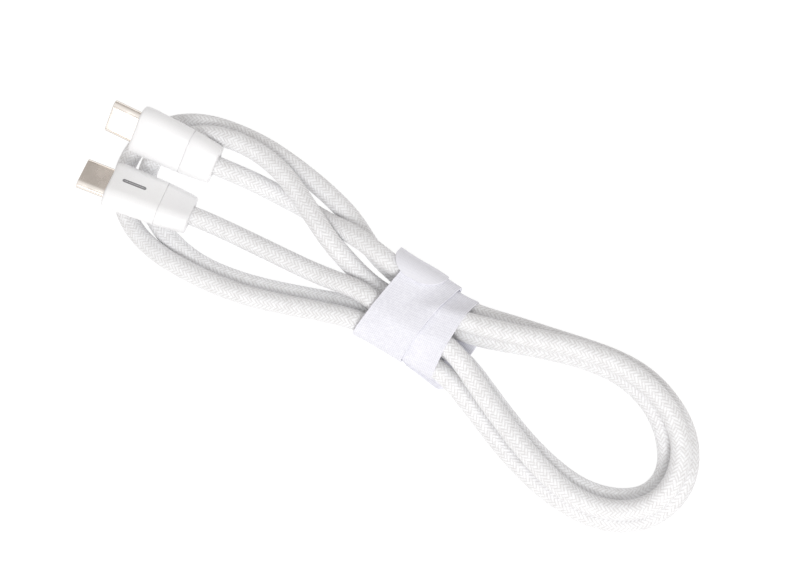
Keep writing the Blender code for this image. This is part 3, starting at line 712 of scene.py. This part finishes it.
def build_tab(strands, mats):
    """Stiff rounded end of the strip, lying over the top of the bundle."""
    def outline_at(x):
        centres = centres_at(strands, x, TAB_SLANT)
        angles = np.radians(np.linspace(TAB_ROOT_DEG, 90, TAB_STEPS))
        outline = np.array([hull_point(centres, a, TAB_REACH + ROOT_BULGE * root_bulge(a))
                            for a in angles])
        fine = np.vstack([np.linspace(p, q, 40) for p, q in zip(outline[:-1], outline[1:])])
        return even_line(fine[fine[:, 0] > TAB_TIP_Y], TAB_STEPS, False)[0]

    step = np.linalg.norm(np.diff(outline_at(TAB_X), axis=0), axis=1).mean()
    left = np.clip(np.arange(TAB_STEPS)[::-1] * step / TAB_ROUND, 0, 1)
    scale = np.maximum(np.sqrt(1 - (1 - left) ** 2), 0.05)
    profile = strip_profile(STRAP_W, STRAP_T, RIB, 0.0)
    points = wrapped_strip(outline_at, (TAB_X, TAB_SLANT), scale, profile, False)
    uv = uv_grid(np.append(profile[:, 0], profile[0, 0]), np.arange(TAB_STEPS) * step)
    mesh = grid_mesh("strap_end_tab", points, uv, wrap_cols=True, capped=True)
    add_piece("strap_end_tab", mesh, mats["hook"], ["strap_tab"], FLAP)


def build_tail(mats):
    """Flat free end of the strip under the bundle."""
    width, length = TAIL_SIZE
    along = np.linspace(length / 2, -length / 2, TAB_STEPS)
    left = np.clip((along + length / 2) / TAIL_ROUND, 0, 1)
    scale = 0.72 + 0.28 * np.sqrt(1 - (1 - left) ** 2)
    profile = strip_profile(width, STRAP_T, RIB, 0.02)
    points = np.array([[(a * k, y, b) for a, b in profile] for y, k in zip(along, scale)])
    turn = np.array(Matrix.Rotation(math.radians(TAIL_TURN_DEG), 3, "Z"))
    points = points @ turn.T + np.array(TAIL_MID) + SHIFT
    uv = uv_grid(np.append(profile[:, 0], profile[0, 0]), along)
    mesh = grid_mesh("strap_free_tail", points, uv, wrap_cols=True, capped=True)
    tail = add_piece("strap_free_tail", mesh, mats["strap"], ["strap_tail"])


# ---- finishes of the pieces kept from the CAD --------------------------------
def dress_nodes(mats):
    looks = {
        "inner_jacket": "jacket", "power_wire": "red", "ground_wire": "black",
        "config_wire": "blue", "data_plus_wire": "green", "data_minus_wire": "jacket",
    }
    for tag in ("plug_a_", "plug_b_"):
        for part in ("left_latch", "right_latch", "shield_can", "crimp_ferrule"):
            looks[tag + part] = "steel"
        looks.update({tag + "upper_contacts": "gold", tag + "lower_contacts": "gold"})
        looks.update({tag + "insulator": "black", tag + "paddle_card": "green"})
        looks.update({tag + "marker_chip": "black", tag + "capacitor": "tan"})
        looks[tag + "inner_mould"] = "plastic"
    for name, look in looks.items():
        mesh = NODES[name].data
        mesh.materials.clear()
        mesh.materials.append(mats[look])


# ---- floor and light -------------------------------------------------------
def build_floor():
    mesh = bpy.data.meshes.new("floor")
    signs = ((-1, -1), (1, -1), (1, 1), (-1, 1))
    corners = [(x * FLOOR_EDGE, y * FLOOR_EDGE, -FLOOR_DROP) for x, y in signs]
    mesh.from_pydata(corners, [], [(0, 1, 2, 3)])
    s = Shader("pale_floor", 0.9)
    s.colour(s.ramp(s.noise(3.0), 0.3, 0.7, (0.17, 0.17, 0.17), (0.2, 0.2, 0.2)))
    s.bsdf.inputs["Emission Color"].default_value = (1, 1, 1, 1)
    s.bsdf.inputs["Emission Strength"].default_value = FLOOR_GLOW
    mesh.materials.append(s.mat)
    floor = bpy.data.objects.new("floor", mesh)
    bpy.context.scene.collection.objects.link(floor)


def add_light(name, place, size, power):
    """White area light that points at the middle of the hank."""
    data = bpy.data.lights.new(name, "AREA")
    data.shape = "RECTANGLE"
    data.size, data.size_y = size
    data.energy = power
    lamp = bpy.data.objects.new(name, data)
    lamp.location = place
    lamp.rotation_mode = "QUATERNION"
    lamp.rotation_quaternion = (-Vector(place)).to_track_quat("-Z", "Y")
    bpy.context.scene.collection.objects.link(lamp)


def build_light():
    world = bpy.data.worlds.new("studio")
    world.use_nodes = True
    tree = world.node_tree
    place, split = tree.nodes.new("ShaderNodeTexCoord"), tree.nodes.new("ShaderNodeSeparateXYZ")
    tree.links.new(place.outputs["Generated"], split.inputs["Vector"])
    ramp = tree.nodes.new("ShaderNodeValToRGB")
    low, high = ramp.color_ramp.elements
    low.position, high.position = 0.0, 1.0
    low.color, high.color = SKY_LOW, SKY_HIGH
    tree.links.new(split.outputs["Z"], ramp.inputs["Fac"])
    tree.links.new(ramp.outputs["Color"], tree.nodes["Background"].inputs["Color"])
    tree.nodes["Background"].inputs["Strength"].default_value = SKY_STRENGTH
    bpy.context.scene.world = world
    bpy.context.scene.view_settings.view_transform = "Standard"
    add_light("key", KEY_PLACE, KEY_SIZE, KEY_POWER)
    add_light("front", FRONT_PLACE, FRONT_SIZE, FRONT_POWER)


def make_materials():
    return {
        "braid": braid_material(),
        "strap": strap_material("strap_pile", (0.85, 0.85, 0.905), (0.68, 0.68, 0.74), 0.00006),
        "hook": strap_material("strap_hooks", (0.82, 0.82, 0.87), (0.75, 0.75, 0.80), 0.00002),
        "plastic": plastic_material("white_plastic", (0.9, 0.9, 0.905), 0.3, (0.87, 0.87, 0.88)),
        "jacket": plastic_material("jacket_plastic", (0.82, 0.82, 0.82), 0.45, (0.76, 0.76, 0.76)),
        "red": plastic_material("red_plastic", (0.7, 0.06, 0.05), 0.4, (0.6, 0.05, 0.04)),
        "blue": plastic_material("blue_plastic", (0.05, 0.15, 0.6), 0.4, (0.04, 0.12, 0.5)),
        "green": plastic_material("green_plastic", (0.05, 0.4, 0.12), 0.4, (0.03, 0.3, 0.1)),
        "black": plastic_material("black_plastic", (0.05, 0.05, 0.05), 0.45, (0.03, 0.03, 0.03)),
        "tan": plastic_material("tan_ceramic", (0.52, 0.4, 0.27), 0.5, (0.45, 0.33, 0.22)),
        "mark": plastic_material("mark_grey", (0.25, 0.25, 0.26), 0.45, (0.2, 0.2, 0.21)),
        "steel": metal_material("satin_steel", (0.97, 0.905, 0.845), (0.92, 0.86, 0.80), 0.25),
        "gold": metal_material("contact_gold", (0.85, 0.63, 0.28), (0.78, 0.57, 0.25), 0.25),
    }


def main():
    make_camera()
    mats = make_materials()
    settled = cable_path()
    strands = strap_strands(settled)
    path = eased(settled.copy(), PATH_EASE) + SHIFT
    cord = build_cord(path, mats["braid"])
    build_plug("plug_a", PLUG_A, mats, False)
    far = build_plug("plug_b", PLUG_B, mats, True)
    dress_nodes(mats)
    line = [tuple(p * MM) for p in path]
    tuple(line[3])
    build_band("strap_inner_band", strands, INNER_REACH, INNER_TURN, 0.0, mats,
               "strap_inner_turn")
    build_band("strap_outer_band", strands, OUTER_REACH, OUTER_TURN, ROOT_BULGE, mats,
               "strap_outer_turn")
    build_tab(strands, mats)
    build_tail(mats)
    build_floor()
    build_light()


main()
